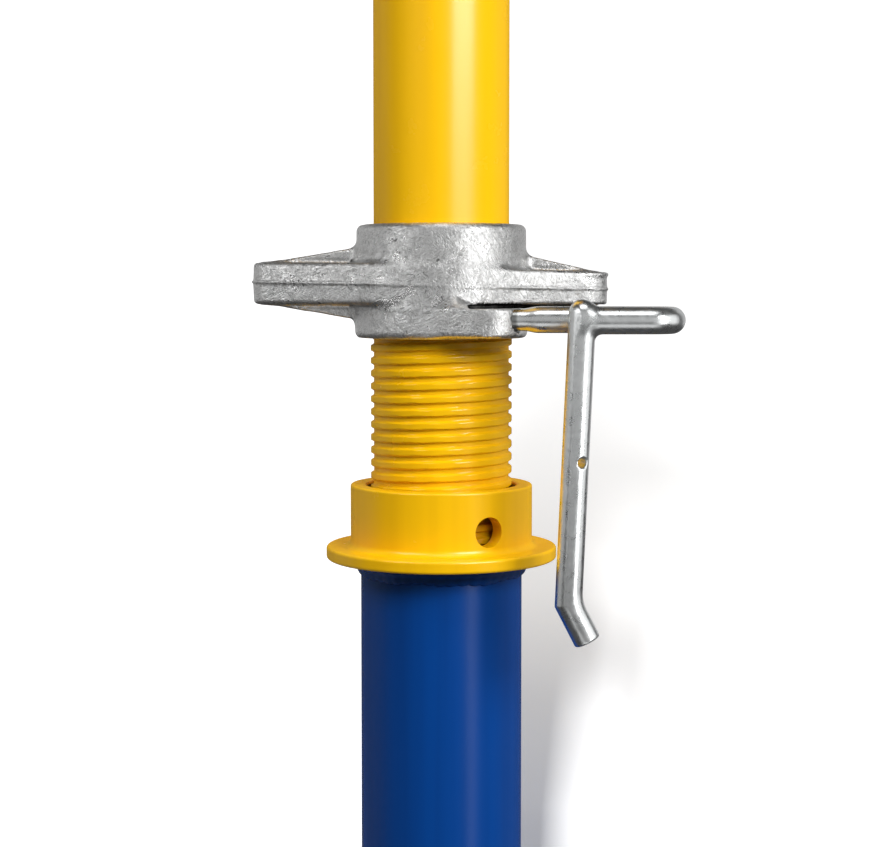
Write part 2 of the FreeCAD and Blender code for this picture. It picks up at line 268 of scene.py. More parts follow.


# %% [markdown]
# The yellow of the inner tube is the collar's, but where the collar surrounds it the tube gets painted shade,
# which makes the collar's hole look dark. A ramp over the height above the foot darkens it there and fades
# out at both ends. The collar's bore gets a dark brown of painted shade too.

# %% The paints
COLLAR_SHADE, COLLAR_SHADE_FADE = (0.55, 0.50, 0.42), 6.0 * MM


def powder_coat(name, colour, shade, gloss, shaded_between=None):
    """Dielectric paint: colour drifts towards shade in faint upright streaks, and roughness from gloss up.
    Between the two heights of shaded_between, painted shade darkens it, and fades out over COLLAR_SHADE_FADE
    at both ends."""
    material, tree, surface = node_material(name)
    drift = object_noise(tree, 110.0, detail=2.0, stretch=(1.0, 1.0, 0.03))
    paint = ramp(tree, drift, (0.30, shade), (0.60, colour))
    if shaded_between:
        low, high = shaded_between
        shade_band = ramp(tree, object_height(tree), (low - COLLAR_SHADE_FADE, 1.0), (low, COLLAR_SHADE),
                      (high - COLLAR_SHADE_FADE, COLLAR_SHADE), (high, 1.0))
        paint = blend(tree, "MULTIPLY", None, paint, shade_band)
    tree.links.new(paint, surface.inputs["Base Color"])
    wear = object_noise(tree, 60.0, detail=5.0)
    tree.links.new(ramp(tree, wear, (0.3, gloss), (0.75, gloss + 0.03)), surface.inputs["Roughness"])
    peel = object_noise(tree, 420.0, detail=2.0)
    tree.links.new(bump(tree, peel, 0.03, 0.2 * MM), surface.inputs["Normal"])
    surface.inputs["IOR"].default_value = 1.5
    return material


YELLOWS = (0.95, 0.53, 0.001), (0.90, 0.49, 0.001)
YELLOW = powder_coat("yellow_powder_coat", *YELLOWS, 0.25)
# The inner tube's paint, with a band of painted shade where the collar surrounds it.
TUBE_YELLOW = powder_coat("yellow_tube_coat", *YELLOWS, 0.25, (COLLAR_Z, COLLAR_TOP_Z))
# A dark brown of painted shade for the collar's bore.
BORE_SHADE_BROWN = powder_coat("bore_painted_shade", (0.20, 0.10, 0.004), (0.14, 0.07, 0.003), 0.42)
BLUE = powder_coat("blue_powder_coat", (0.0, 0.053, 0.28), (0.0, 0.047, 0.25), 0.24)
print("paints:", YELLOW.name, TUBE_YELLOW.name, BORE_SHADE_BROWN.name, BLUE.name)

# %% [markdown]
# ## Zinc
# The nut and its handle are hot-dip galvanised. On the rough casting the zinc freezes into short strokes
# that lie one way in one patch and another way in the next, plus a few dark pits where the sand left a
# mark. The bar was rolled smooth, so its zinc is shinier and shows only fine scratches along its length.
# Cracks get painted shade: the meshes carry an attribute named openness, worked out further down, and the
# colour is multiplied by a painted shade that falls with it.

# %% Strokes and painted shade


def stroke_noise(tree, turn, scale=1000.0, length=3.5):
    """Noise drawn out to length times its width, along an axis turned by turn, like short brush strokes."""
    mapping = add_node(tree, "ShaderNodeMapping", vector_type="TEXTURE", Rotation=turn,
                       Scale=(1.0, 1.0, length))
    return mapped_noise(tree, mapping, Scale=scale, Detail=2.0, Distortion=1.6)


def crevice_shade(tree):
    """Painted shade: white where a point is open, nearly black deep in a crack, from the openness that the
    mesh carries.
    """
    openness = add_node(tree, "ShaderNodeAttribute", attribute_name="openness").outputs["Fac"]
    return ramp(tree, openness, (0.05, 0.03), (0.45, (0.45, 0.45, 0.44)), (0.8, 1.0))


def metal_colour(tree, surface, colour):
    """Makes the surface a metal whose colour is darkened by painted shade in its cracks."""
    surface.inputs["Metallic"].default_value = 1.0
    tree.links.new(blend(tree, "MULTIPLY", None, colour, crevice_shade(tree)), surface.inputs["Base Color"])


# %% The two zinc finishes


def cast_zinc():
    """Strokes in two directions, chosen by patches, with pits; broad waves and a fine grain in the bump."""
    material, tree, surface = node_material("cast_zinc")
    broad = object_noise(tree, 70.0, detail=3.0, distortion=1.0)
    grain = object_noise(tree, 1100.0, detail=2.0)
    patch = ramp(tree, object_noise(tree, 160.0, detail=1.0), (0.46, 0.0), (0.54, 1.0))
    one_way, other_way = stroke_noise(tree, (0.3, 1.1, 0.0)), stroke_noise(tree, (0.2, -0.6, 0.3))
    strokes = blend(tree, "MIX", patch, one_way, other_way)
    pits = object_noise(tree, 260.0, detail=1.0, distortion=0.8)
    clean = ramp(tree, pits, (0.23, 0.30), (0.29, 1.0))
    colour = ramp(tree, strokes, (0.32, (0.56, 0.56, 0.55)), (0.60, (0.90, 0.90, 0.895)))
    metal_colour(tree, surface, blend(tree, "MULTIPLY", None, colour, clean))
    tree.links.new(ramp(tree, broad, (0.35, 0.26), (0.65, 0.42)), surface.inputs["Roughness"])
    relief = bump(tree, broad, 0.35, 1.2 * MM)
    relief = bump(tree, strokes, 0.62, 0.55 * MM, relief)
    relief = bump(tree, grain, 0.25, 0.2 * MM, relief)
    tree.links.new(relief, surface.inputs["Normal"])
    return material


def bar_zinc():
    """A faint bluish mottle in colour and gloss, and a bump of scratches along the upright bar."""
    material, tree, surface = node_material("bar_zinc")
    mottle = object_noise(tree, 160.0, detail=4.0, distortion=0.8)
    metal_colour(tree, surface, ramp(tree, mottle, (0.3, (0.76, 0.78, 0.78)), (0.7, (0.93, 0.95, 0.95))))
    tree.links.new(ramp(tree, mottle, (0.3, 0.24), (0.7, 0.36)), surface.inputs["Roughness"])
    scratch = object_noise(tree, 700.0, detail=3.0, stretch=(1.0, 1.0, 0.35), distortion=1.0)
    tree.links.new(bump(tree, scratch, 0.16, 0.4 * MM), surface.inputs["Normal"])
    return material


CAST_ZINC = cast_zinc()
BAR_ZINC = bar_zinc()
print("zinc finishes:", CAST_ZINC.name, BAR_ZINC.name)

# %% [markdown]
# ## Outer tube
# The outer tube is a plain drawn tube, whose cut ends are barely rounded. Its outline is a tall, thin
# rectangle: the wall cut along its length.

# %% The outer tube
EDGE_R = 0.5 * MM
outer_tube = turned_piece("outer_tube_skin", [
    (OUTER_TUBE_R - TUBE_WALL, TUBE_FOOT_Z, EDGE_R), (OUTER_TUBE_R, TUBE_FOOT_Z, EDGE_R),
    (OUTER_TUBE_R, COLLAR_Z, EDGE_R), (OUTER_TUBE_R - TUBE_WALL, COLLAR_Z, EDGE_R),
], 192, "outer", "outer_tube", BLUE)

# %% [markdown]
# ## Inner tube
# A right-hand thread is rolled into the inner tube: hard rollers press its wall into a flat-topped ridge.
# A ridge could be swept along a helix and joined to the tube, but then the seam has to be hidden. Giving
# the radius as a function of angle and height keeps tube and thread one closed surface.

# %% The thread's height at an angle and a height
PITCH = 6.0 * MM
RIDGE_HALF_WIDTH, RIDGE_FLANK = 2.15 * MM, 1.0 * MM
THREAD_START, THREAD_TOP_IN_NUT = 234.0 * MM, 40.2 * MM
THREAD_LOW_Z, THREAD_HIGH_Z = INNER_FOOT_Z + THREAD_START, NUT_Z + THREAD_TOP_IN_NUT
RUNOUT = 9.0 * MM
THREAD_PHASE = 0.85


def ridge(offset):
    """Height from 0 to 1 of a flat-topped ridge: t squared times (3 - 2 t), t being how far up its flank
    we are, from 0 at its foot to 1 at its top."""
    t = np.clip((RIDGE_HALF_WIDTH - np.abs(offset)) / RIDGE_FLANK, 0.0, 1.0)
    return t * t * (3.0 - 2.0 * t)


def turns_along(angle, height):
    """Share of a pitch, from 0 to 1, at which a point lies: height over pitch, less the angle's turns."""
    return (height / PITCH - angle / TURN - THREAD_PHASE) % 1.0


def thread_height(angle, height):
    """How far the thread stands out: depth times ridge, faded in and out over the runout at both ends."""
    offset = (turns_along(angle, height) - 0.5) * PITCH
    fade_in = np.clip((height - THREAD_LOW_Z) / RUNOUT, 0, 1)
    fade_out = np.clip((THREAD_HIGH_Z - height) / RUNOUT, 0, 1)
    return THREAD_DEPTH * ridge(offset) * (fade_in * fade_out)


print("thread from %.4f to %.4f m, %.1f turns" % (
    THREAD_LOW_Z, THREAD_HIGH_Z, (THREAD_HIGH_Z - THREAD_LOW_Z) / PITCH))

# %% The inner tube


def inner_tube_piece(columns=112, step=0.42 * MM):
    """Rows go up the outside, step by step along the thread, and down the bore; r = tube + thread outside."""
    threaded = np.arange(THREAD_LOW_Z, THREAD_HIGH_Z, step)
    low_end = INNER_FOOT_Z + np.array([0.0, 0.5, 1.0]) * MM
    high_end = INNER_TOP_Z - np.array([1.0, 0.5, 0.0]) * MM
    outside = np.concatenate([low_end, threaded, high_end])
    z = np.concatenate([outside, high_end[::-1], low_end[::-1]])
    is_outside = np.arange(len(z))[:, None] < len(outside)
    angle = np.linspace(0.0, TURN, columns, endpoint=False)[None, :]
    threaded_r = INNER_TUBE_R + thread_height(angle, z[:, None])
    radius = np.where(is_outside, threaded_r, INNER_TUBE_R - TUBE_WALL)
    return add_piece("inner_tube_skin", turned_points(radius, z, columns), wrapped_quads(len(z), columns),
                     "inner", "inner_tube", TUBE_YELLOW)


inner_tube = inner_tube_piece()

# %% [markdown]
# ## Collar
# The collar is a flanged sleeve, turned from one piece and painted like the tube. Its outline is turned,
# with a hollow fillet above the flange and a narrow guide for the tube at its foot. The cross hole can't
# be turned, so it is cut with a Boolean, and a narrow Bevel breaks its rim.

# %% Cutting tools


def evaluated_mesh(piece):
    """The mesh that the piece's modifiers make, with the modifiers gone."""
    graph = bpy.context.evaluated_depsgraph_get()
    mesh = bpy.data.meshes.new_from_object(piece.evaluated_get(graph))
    piece.modifiers.clear()
    piece.data = mesh
    return mesh


def drill(radius, length, start, direction, columns=64):
    """A closed cylinder for cutting a hole. Each point of its two rings is start + radius times
    (cos a side + sin a up), and the second ring is moved by length along direction."""
    angle = np.linspace(0.0, TURN, columns, endpoint=False)
    along = Vector(direction).normalized()
    side = along.orthogonal().normalized()
    up = along.cross(side)
    ring = np.array(start) + radius * (np.outer(np.cos(angle), side) + np.outer(np.sin(angle), up))
    points = np.concatenate([ring, ring + length * np.array(along)])
    k = np.arange(columns)
    k_next = (k + 1) % columns
    sides = np.stack([k, k_next, k_next + columns, k + columns], axis=1).tolist()
    mesh = bpy.data.meshes.new("drill")
    mesh.from_pydata(points.tolist(), [], sides + [k[::-1].tolist(), (k + columns).tolist()])
    tool = bpy.data.objects.new("drill", mesh)
    bpy.context.scene.collection.objects.link(tool)
    return tool


# %% The guide collar
FLANGE_TOP_Z = COLLAR_Z + 6.0 * MM
SLEEVE_R = 42.85 * MM
MOUTH_R = 35.4 * MM
GUIDE_R = CREST_R + 0.35 * MM
LEDGE_Z = COLLAR_Z + 9.0 * MM
FLANGE_EDGE_R, SLEEVE_FILLET_R, MOUTH_EDGE_R = 1.3 * MM, 3.0 * MM, 1.0 * MM
HOLE_R = 7.0 * MM
HOLE_Z = FLANGE_TOP_Z + 10.6 * MM
HOLE_TURN = math.radians(30.5)
RIM_WIDTH = 0.7 * MM


def cut_cross_hole(collar):
    """Takes the drill out of the near wall, then breaks every edge sharper than 50 degrees."""
    out = Vector((math.sin(HOLE_TURN), -math.cos(HOLE_TURN), 0.0))
    tool = drill(HOLE_R, 2.0 * SLEEVE_R, Vector((0.0, 0.0, HOLE_Z)) + out * MOUTH_R / 2.0, out)
    cut = collar.modifiers.new("cross_hole", "BOOLEAN")
    cut.operation, cut.solver, cut.object = "DIFFERENCE", "EXACT", tool
    mesh = evaluated_mesh(collar)
    bpy.data.objects.remove(tool)
    mesh.shade_smooth()
    mesh.set_sharp_from_angle(angle=math.radians(40.0))
    rim = collar.modifiers.new("rim", "BEVEL")
    rim.limit_method, rim.angle_limit = "ANGLE", math.radians(50.0)
    rim.width, rim.segments = RIM_WIDTH, 3
    return evaluated_mesh(collar)


def shade_bore(mesh):
    """Gives the bore's painted shade to each face whose centre is no further out than the mouth, between its
    ends.
    """
    centre = np.empty(3 * len(mesh.polygons))
    mesh.polygons.foreach_get("center", centre)
    x, y, z = centre.reshape(-1, 3).T
    between_ends = (z > COLLAR_Z + 1.0 * MM) & (z < COLLAR_TOP_Z - 1.2 * MM)
    in_bore = (np.hypot(x, y) < MOUTH_R + 0.1 * MM) & between_ends
    mesh.materials.append(BORE_SHADE_BROWN)
    mesh.polygons.foreach_set("material_index", in_bore.astype(np.int32))
    print("collar with its cross hole: %d faces, %d in the bore" % (len(mesh.polygons), in_bore.sum()))


guide_collar = turned_piece("guide_collar_skin", [
    (GUIDE_R, COLLAR_Z, EDGE_R), (FLANGE_R, COLLAR_Z, FLANGE_EDGE_R),
    (FLANGE_R, FLANGE_TOP_Z, FLANGE_EDGE_R), (SLEEVE_R, FLANGE_TOP_Z, SLEEVE_FILLET_R),
    (SLEEVE_R, COLLAR_TOP_Z, MOUTH_EDGE_R), (MOUTH_R, COLLAR_TOP_Z, MOUTH_EDGE_R),
    (MOUTH_R, LEDGE_Z, EDGE_R), (GUIDE_R, LEDGE_Z, EDGE_R),
], 192, "outer", "guide_collar", YELLOW)
shade_bore(cut_cross_hole(guide_collar))

# %% [markdown]
# ## Welds
# A weld bead is a row of overlapping ripples, one for each dab of the torch, with a slightly uneven edge.
# A texture could fake the ripples, but they show in the bead's outline, so they are shape: a corner that
# bulges a little is turned round the tube, while its size swells and shrinks with the angle.

# %% The weld beads


def weld_bead(name, tube_r, seat_z, leg, rise, body, node, material, ripples=46):
    """Outline: the corner, then an arc from the seat (leg out from the tube) to the tube (rise along it).
    Its size is 0.92, plus a ripple from the sine of half of ripples times the angle, plus a slow waver.
    The arc is pulled in to 0.72 of its radius half-way, which is just outside the straight line."""
    columns, rows = 368, 12
    angle = np.linspace(0.0, TURN, columns, endpoint=False)[None, :]
    ripple = 0.07 * np.abs(np.sin(angle * ripples / 2.0 + 0.4 * np.sin(3.0 * angle)))
    waver = 0.05 * np.sin(5.0 * angle + 1.0) + 0.04 * np.sin(11.0 * angle)
    size = 0.92 + ripple + waver
    share = np.linspace(0.0, 1.0, rows)[:, None] * math.pi / 2.0
    bulge = 0.72 + 0.28 * np.abs(np.cos(2.0 * share))
    across, along = leg * size * np.cos(share) * bulge, rise * size * np.sin(share) * bulge
    inner = np.zeros((1, columns))
    radius = tube_r + np.concatenate([inner - EDGE_R, across, inner - EDGE_R])
    height = seat_z + np.concatenate([inner, along, along[-1:]])
    points = turned_points(radius, height, columns)
    return add_piece(name, points, wrapped_quads(len(radius), columns), body, node, material)


LEG = 4.5 * MM
COLLAR_WELD_DROP = -8.0 * MM
collar_weld = weld_bead(
    "collar_weld_bead", OUTER_TUBE_R, COLLAR_Z, LEG, COLLAR_WELD_DROP, "outer", "collar_weld", BLUE)
base_weld = weld_bead("base_weld_bead", OUTER_TUBE_R, TUBE_FOOT_Z, LEG, LEG, "outer", "base_weld", BLUE)
head_weld = weld_bead(
    "head_weld_bead", INNER_TUBE_R, INNER_TOP_Z, LEG, -LEG, "inner", "head_weld", YELLOW)

# %% [markdown]
# ## Stop ring
# A ring welded round the inner tube's foot meets the collar from below when the prop is fully drawn out.
# It is hidden in the outer tube, so a plain turned ring and a small bead are enough.

# %% The stop ring and its weld
RING_LOW_Z, RING_HIGH_Z = z_range("stop_ring")
RING_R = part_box("stop_ring")[1].x
RING_EDGE_R, RING_LEG = 1.0 * MM, 2.3 * MM
stop_ring = turned_piece("stop_ring_skin", [
    (INNER_TUBE_R, RING_LOW_Z, EDGE_R), (RING_R, RING_LOW_Z, RING_EDGE_R),
    (RING_R, RING_HIGH_Z, RING_EDGE_R), (INNER_TUBE_R, RING_HIGH_Z, EDGE_R),
], 128, "inner", "stop_ring", YELLOW)
ring_weld = weld_bead(
    "stop_ring_weld_bead", INNER_TUBE_R, RING_LOW_Z, RING_LEG, -RING_LEG, "inner", "stop_ring_weld",
    YELLOW)

# %% [markdown]
# ## End plates
# Each plate is punched from flat bar: a square with rounded corners, four bolt holes, and small nail
# holes. A grid doesn't suit a plate with holes. A flat curve with its holes as inner loops fills itself
# instead, and its extrusion and bevel give the plate its thickness and its broken edges, the holes' rims
# included.

# %% Outlines of the plates
PLATE_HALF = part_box("base_plate")[1].x
PLATE_CORNER_R = 8.0 * MM
PLATE_EDGE = 0.6 * MM
BOLT_AT, BOLT_HOLE_R = 42.0 * MM, 6.5 * MM
NAIL_AT, NAIL_HOLE_R = PLATE_HALF - 9.0 * MM, 2.5 * MM
DRAIN_HOLE_R = 17.5 * MM


def circle_loop(radius, x, y, columns=64):
    """Points (x + r cos a, y + r sin a), a going once round."""
    angle = np.linspace(0.0, TURN, columns, endpoint=False)
    return np.stack([x + radius * np.cos(angle), y + radius * np.sin(angle)], axis=1)


def rounded_square(half, corner_r, steps=12):
    """Four quarter circles, one in each corner: centre = the corner moved in by the radius both ways."""
    quarter = np.linspace(0.0, math.pi / 2.0, steps)
    turns = np.arange(4)[:, None] * math.pi / 2.0
    centre = (half - corner_r) * math.sqrt(2.0)
    x = centre * np.cos(turns + math.pi / 4.0) + corner_r * np.cos(turns + quarter)
    y = centre * np.sin(turns + math.pi / 4.0) + corner_r * np.sin(turns + quarter)
    return np.stack([x.ravel(), y.ravel()], axis=1)


def plate_loops(drain_r):
    """The square and its holes. The bevel adds PLATE_EDGE of metal all round, so the square is that much
    smaller and each hole that much larger."""
    bolts = [(x, y) for x in (-BOLT_AT, BOLT_AT) for y in (-BOLT_AT, BOLT_AT)]
    nails = [(NAIL_AT, 0.0), (-NAIL_AT, 0.0), (0.0, NAIL_AT), (0.0, -NAIL_AT)]
    loops = [rounded_square(PLATE_HALF - PLATE_EDGE, PLATE_CORNER_R)]
    loops += [circle_loop(BOLT_HOLE_R + PLATE_EDGE, x, y) for x, y in bolts]
    loops += [circle_loop(NAIL_HOLE_R + PLATE_EDGE, x, y, 32) for x, y in nails]
    if drain_r:
        loops.append(circle_loop(drain_r + PLATE_EDGE, 0.0, 0.0, 96))
    return loops


# %% The end plates


def filled_mesh(name, loops, thickness):
    """The mesh of a flat curve through loops, extruded to thickness about z = 0."""
    flat = bpy.data.curves.new(name, "CURVE")
    flat.dimensions, flat.fill_mode = "2D", "BOTH"
    flat.extrude = thickness / 2.0 - PLATE_EDGE
    flat.bevel_depth, flat.bevel_resolution = PLATE_EDGE, 3
    for loop in loops:
        spline = flat.splines.new("POLY")
        spline.points.add(len(loop) - 1)
        spline.points.foreach_set("co", np.c_[loop, np.zeros(len(loop)), np.ones(len(loop))].ravel())
        spline.use_cyclic_u = True
    shape = bpy.data.objects.new(name, flat)
    mesh = bpy.data.meshes.new_from_object(shape)
    bpy.data.objects.remove(shape)
    return mesh


def punched_plate(name, node, body, material, drain_r=None):
    """Fills the plate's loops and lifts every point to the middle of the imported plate."""
    low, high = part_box(node)
    mesh = filled_mesh(name, plate_loops(drain_r), high.z - low.z)
    points = np.empty(len(mesh.vertices) * 3)
    mesh.vertices.foreach_get("co", points)
    points = points.reshape(-1, 3) + (0.0, 0.0, (low.z + high.z) / 2.0)
    mesh.vertices.foreach_set("co", points.ravel())
    mesh.materials.clear()
    mesh.materials.append(material)
    mesh.shade_smooth()
    mesh.set_sharp_from_angle(angle=math.radians(25.0))
    plate = bpy.data.objects.new(name, mesh)
    bpy.context.scene.collection.objects.link(plate)
    settle(plate, body, node)
    print("%-18s %7d faces" % (name, len(mesh.polygons)))
    return plate


base_plate = punched_plate("base_plate_skin", "base_plate", "outer", BLUE, DRAIN_HOLE_R)
head_plate = punched_plate("head_plate_skin", "head_plate", "inner", YELLOW)

# %% [markdown]
# ## Solid fields
# A casting has no outline to turn: wings, webs and a lug grow out of a barrel with soft fillets. It could
# be sculpted, or joined by Booleans whose edges are then bevelled. Such a form is easier to write as a
# field, which gives each point in space its distance to the surface, negative inside. Joining two forms
# is the smaller of their distances, a fillet is a soft minimum, and cutting is a maximum.

# %% Joining and cutting fields


def soft_min(a, b, width):
    """Smaller of a and b, less width h (1 - h), where h goes from 0 to 1 while b - a goes from -width to
    width. That fills the corner between two forms with a fillet about as wide as width."""
    h = np.clip(0.5 + 0.5 * (b - a) / width, 0.0, 1.0)
    return b + (a - b) * h - width * h * (1.0 - h)


def soft_max(a, b, width):
    """Larger of a and b with the same fillet: minus the soft minimum of minus a and minus b."""
    return -soft_min(-a, -b, width)


def rounded_both(a, b, radius):
    """Inside both a and b, with the edge between them rounded: the distance to the corner that lies one
    radius inside both, less the radius."""
    a, b = a + radius, b + radius
    return np.minimum(np.maximum(a, b), 0.0) + np.hypot(np.maximum(a, 0.0), np.maximum(b, 0.0)) - radius


# %% Two outlines and a line as fields


def tangent_hull(across, along, big_r, small_r, gap):
    """Distance to the outline round two circles, the small one gap away, with straight flanks that touch
    both. The flanks' slope is the difference of the radii over the gap."""
    across = np.abs(across)
    slope = (big_r - small_r) / gap
    rise = math.sqrt(1.0 - slope * slope)
    turn = -slope * across + rise * along
    near_big = np.hypot(across, along) - big_r
    near_small = np.hypot(across, along - gap) - small_r
    flank = rise * across + slope * along - big_r
    return np.where(turn < 0.0, near_big, np.where(turn > rise * gap, near_small, flank))


def from_segment(x, y, z, start, end):
    """Distance to the straight line from start to end: to the foot of the point on it, held to its ends."""
    along = end - start
    px, py, pz = x - start[0], y - start[1], z - start[2]
    share = (px * along[0] + py * along[1] + pz * along[2]) / (along @ along)
    held = np.clip(share, 0.0, 1.0)
    dx, dy, dz = px - held * along[0], py - held * along[1], pz - held * along[2]
    return np.sqrt(dx ** 2 + dy ** 2 + dz ** 2)


# %% [markdown]
# The skin is found where the field changes sign. Space is cut into small cells. Each cell that the surface
# crosses gets one point, at the mean of the crossings on the cell's edges, and each grid edge that the
# surface crosses gets one face, through the points of the four cells round it. A last step moves the
# points along the field's slope, onto the surface itself.

# %% From a field to a skin
CELL_CORNERS = [(i, j, k) for i in (0, 1) for j in (0, 1) for k in (0, 1)]


def crossing_sums(value):
    """For each cell, how many of its edges are crossed, and the sum of the crossings' places in the cell.
    A crossing lies at a / (a - b) along its edge, a and b being the field at the edge's two ends."""
    cells = tuple(n - 1 for n in value.shape)
    total = np.zeros(cells + (3,), np.float32)
    crossings = np.zeros(cells, np.int16)

    def corner(offset):
        """The field at one corner of every cell, offset by 0 or 1 each way."""
        return value[tuple(slice(o, o + n) for o, n in zip(offset, cells))]

    for start in CELL_CORNERS:
        for axis in range(3):
            if start[axis] == 0:
                end = tuple(1 if m == axis else start[m] for m in range(3))
                a, b = corner(start), corner(end)
                crossed = (a < 0) != (b < 0)
                share = np.where(crossed, a / np.where(crossed, a - b, 1.0), 0.0)
                crossings += crossed
                for m in range(3):
                    total[..., m] += np.where(crossed, share if m == axis else start[m], 0.0)
    return crossings, total


def quads_across(value, number, axis):
    """One quad for each grid edge along axis whose ends differ in sign: the numbers of the points in the
    four cells round the edge, in the order that faces from the inside out."""
    cells = number.shape
    first, second = (axis + 1) % 3, (axis + 2) % 3
    crossed = (value < 0) != (np.roll(value, -1, axis) < 0)
    where = np.argwhere(crossed)
    inner = (where[:, first] > 0) & (where[:, second] > 0) & (where[:, axis] < cells[axis])
    inner &= (where[:, first] < cells[first]) & (where[:, second] < cells[second])
    where = where[inner]
    shifts = np.zeros((4, 3), int)
    shifts[1, first] = shifts[2, first] = -1
    shifts[2, second] = shifts[3, second] = -1
    ring = np.stack([number[tuple((where + shift).T)] for shift in shifts], axis=1)
    outward = value[tuple(where.T)] < 0
    return np.where(outward[:, None], ring, ring[:, ::-1])


def slope_at(field, points, h):
    """The field's slope: its change from h before a point to h after it along x, y and z, over 2 h."""
    x, y, z = points.T
    return np.stack([
        field(x + h, y, z) - field(x - h, y, z),
        field(x, y + h, z) - field(x, y - h, z),
        field(x, y, z + h) - field(x, y, z - h),
    ], axis=1) / (2.0 * h)


def tighten(field, points, step, rounds=3):
    """Moves each point by its distance over its slope, at most half a step a round, towards the surface.
    The slope is read a third of a step to each side, so that a point near an edge isn't thrown about."""
    for _ in range(rounds):
        slope = slope_at(field, points, 0.35 * step)
        size = np.maximum((slope ** 2).sum(1), 0.25)
        move = slope * (field(*points.T) / size)[:, None]
        points = points - np.clip(move, -0.5 * step, 0.5 * step)
    return points


def skin_of_field(field, low, high, step):
    """Points and quads of the surface where field(x, y, z) is 0, inside the box from low to high."""
    axes = [np.arange(a, b + step, step) for a, b in zip(low, high)]
    value = field(*np.meshgrid(*axes, indexing="ij")).astype(np.float32)
    crossings, total = crossing_sums(value)
    active = crossings > 0
    number = np.full(active.shape, -1, np.int64)
    number[active] = np.arange(active.sum())
    place = np.argwhere(active) + total[active] / crossings[active][:, None]
    quads = np.concatenate([quads_across(value, number, axis) for axis in range(3)])
    return tighten(field, np.array(low) + place * step, step), quads


# %% [markdown]
# ## Painted shade in cracks
# The zinc's colour is darkened in cracks as painted shade. A crack can be found with a shader's own ambient
# occlusion, but that is slow, and an exported model loses it. A field tells it for free. From a point on an
# open face, the distance grows by as much as one walks away from it. In a crack it grows by less, because the
# other wall comes nearer.

# %% Openness


def openness(field, points, reaches=(1.5, 4.0)):
    """1 where a point looks out freely and 0 in a crack: the field at a reach along the slope, over that
    reach, and the smallest such share of all reaches."""
    slope = slope_at(field, points, 0.05)
    size = np.maximum(np.linalg.norm(slope, axis=1), 0.3)
    free = np.ones(len(points))
    for reach in reaches:
        ahead = points + slope / size[:, None] * reach
        free = np.minimum(free, field(*ahead.T) / (reach * np.minimum(size, 1.0)))
    return np.clip(free, 0.0, 1.0)


def carry_openness(piece, free):
    """Writes each point's openness into the mesh, as the attribute that the zinc's material reads."""
    attribute = piece.data.attributes.new("openness", "FLOAT", "POINT")
    attribute.data.foreach_set("value", free.astype(np.float32))
    print("%s: %.0f%% of the points are in a crack" % (piece.name, 100.0 * (free < 0.5).mean()))
    return piece


# %% [markdown]
# ## Wing nut
# The nut was cast in the two halves of a mould, so its wings taper away from a parting line and carry a
# thin flash there. From above, each wing is the outline round the barrel and a small tip circle, and a web
# along its middle stiffens it. All of it is one field, in millimetres from the foot of the nut. A web is
# given by the heights of its crests at the barrel, above the wing and below it.

# %% Sizes of the wing nut
NUT_HEIGHT = (NUT_TOP_Z - NUT_Z) / MM
BARREL_R, BARREL_EDGE_R = 39.7, 3.0
NUT_BORE_R = GUIDE_R / MM
LEFT_TIP, RIGHT_TIP = -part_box("wing_nut")[0].x / MM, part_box("wing_nut")[1].x / MM
TIP_R = 12.0
LEFT_WEBS, RIGHT_WEBS = (42.0, 8.5), (38.3, 12.0)
LEFT_EDGE_R, RIGHT_EDGE_R = 1.9, 1.2
DRAFT = 0.05
FLASH, FLASH_WIDTH = 0.7, 0.5
LIP, LIP_DROP, LIP_WIDTH, LIP_START, LIP_FADE = 0.9, 1.1, 1.2, 62.0, 12.0
WING_MIDDLE_Z = 22.0
WING_INSET, LUG_INSET = 0.3, 0.2
WEB_HALF, WEB_DRAFT, WEB_EDGE_R, WEB_FILLET = 5.2, 0.07, 1.1, 1.8
WEB_RUNOUT, WEB_END = 6.0, 5.0
LUG_R, LUG_X, LUG_Y = 14.5, 20.9, -36.0
LUG_TOP, LUG_FOOT, LUG_EDGE_R, LUG_LIMIT = 14.0, 0.8, 2.2, 25.0
LEAN_AT_LEFT, LEAN_MORE, LEAN_SETBACK, LEAN_LENGTH = 0.8, 9.0, 7.0, 13.0
SLOT_START, SLOT_FLOOR_R, SLOT_TOP = 11.8, 36.3, 15.5
HINGE_Y, HINGE_Z = -40.5, 9.0
print("nut %.1f mm high, wings reach %.1f and %.1f mm" % (NUT_HEIGHT, LEFT_TIP, RIGHT_TIP))

# %% The wings and their webs


def wing_heights(x):
    """Top face, parting line and underside of the wings, in straight stretches between four stations
    along x: the left wing is the thicker one."""
    stations = [-90.0, -35.0, 12.0, 78.0]
    top = np.interp(x, stations, [35.0, 34.6, 31.9, 30.6])
    parting = np.interp(x, stations, [26.0, 25.2, 23.8, 22.6])
    under = np.interp(x, stations, [15.7, 15.6, 15.5, 15.4])
    return top, parting, under


def web_field(y, z, reach, tip, root, face, outward):
    """A web stands on a wing's face: its crest runs straight from root, at the barrel, down to the face
    near the tip, and its flanks lean in towards the crest. Outward is 1 for the top face, -1 below."""
    crest = face + (root - face) * (tip - WEB_RUNOUT - reach) / (tip - WEB_RUNOUT - BARREL_R)
    flank = np.abs(y) - WEB_HALF + WEB_DRAFT * outward * (z - face)
    inside_wing = -outward * (z - WING_MIDDLE_Z)
    ends = np.maximum(np.maximum(-reach, reach - (tip - WEB_END)), inside_wing)
    return np.maximum(rounded_both(flank, outward * (z - crest), WEB_EDGE_R), ends)


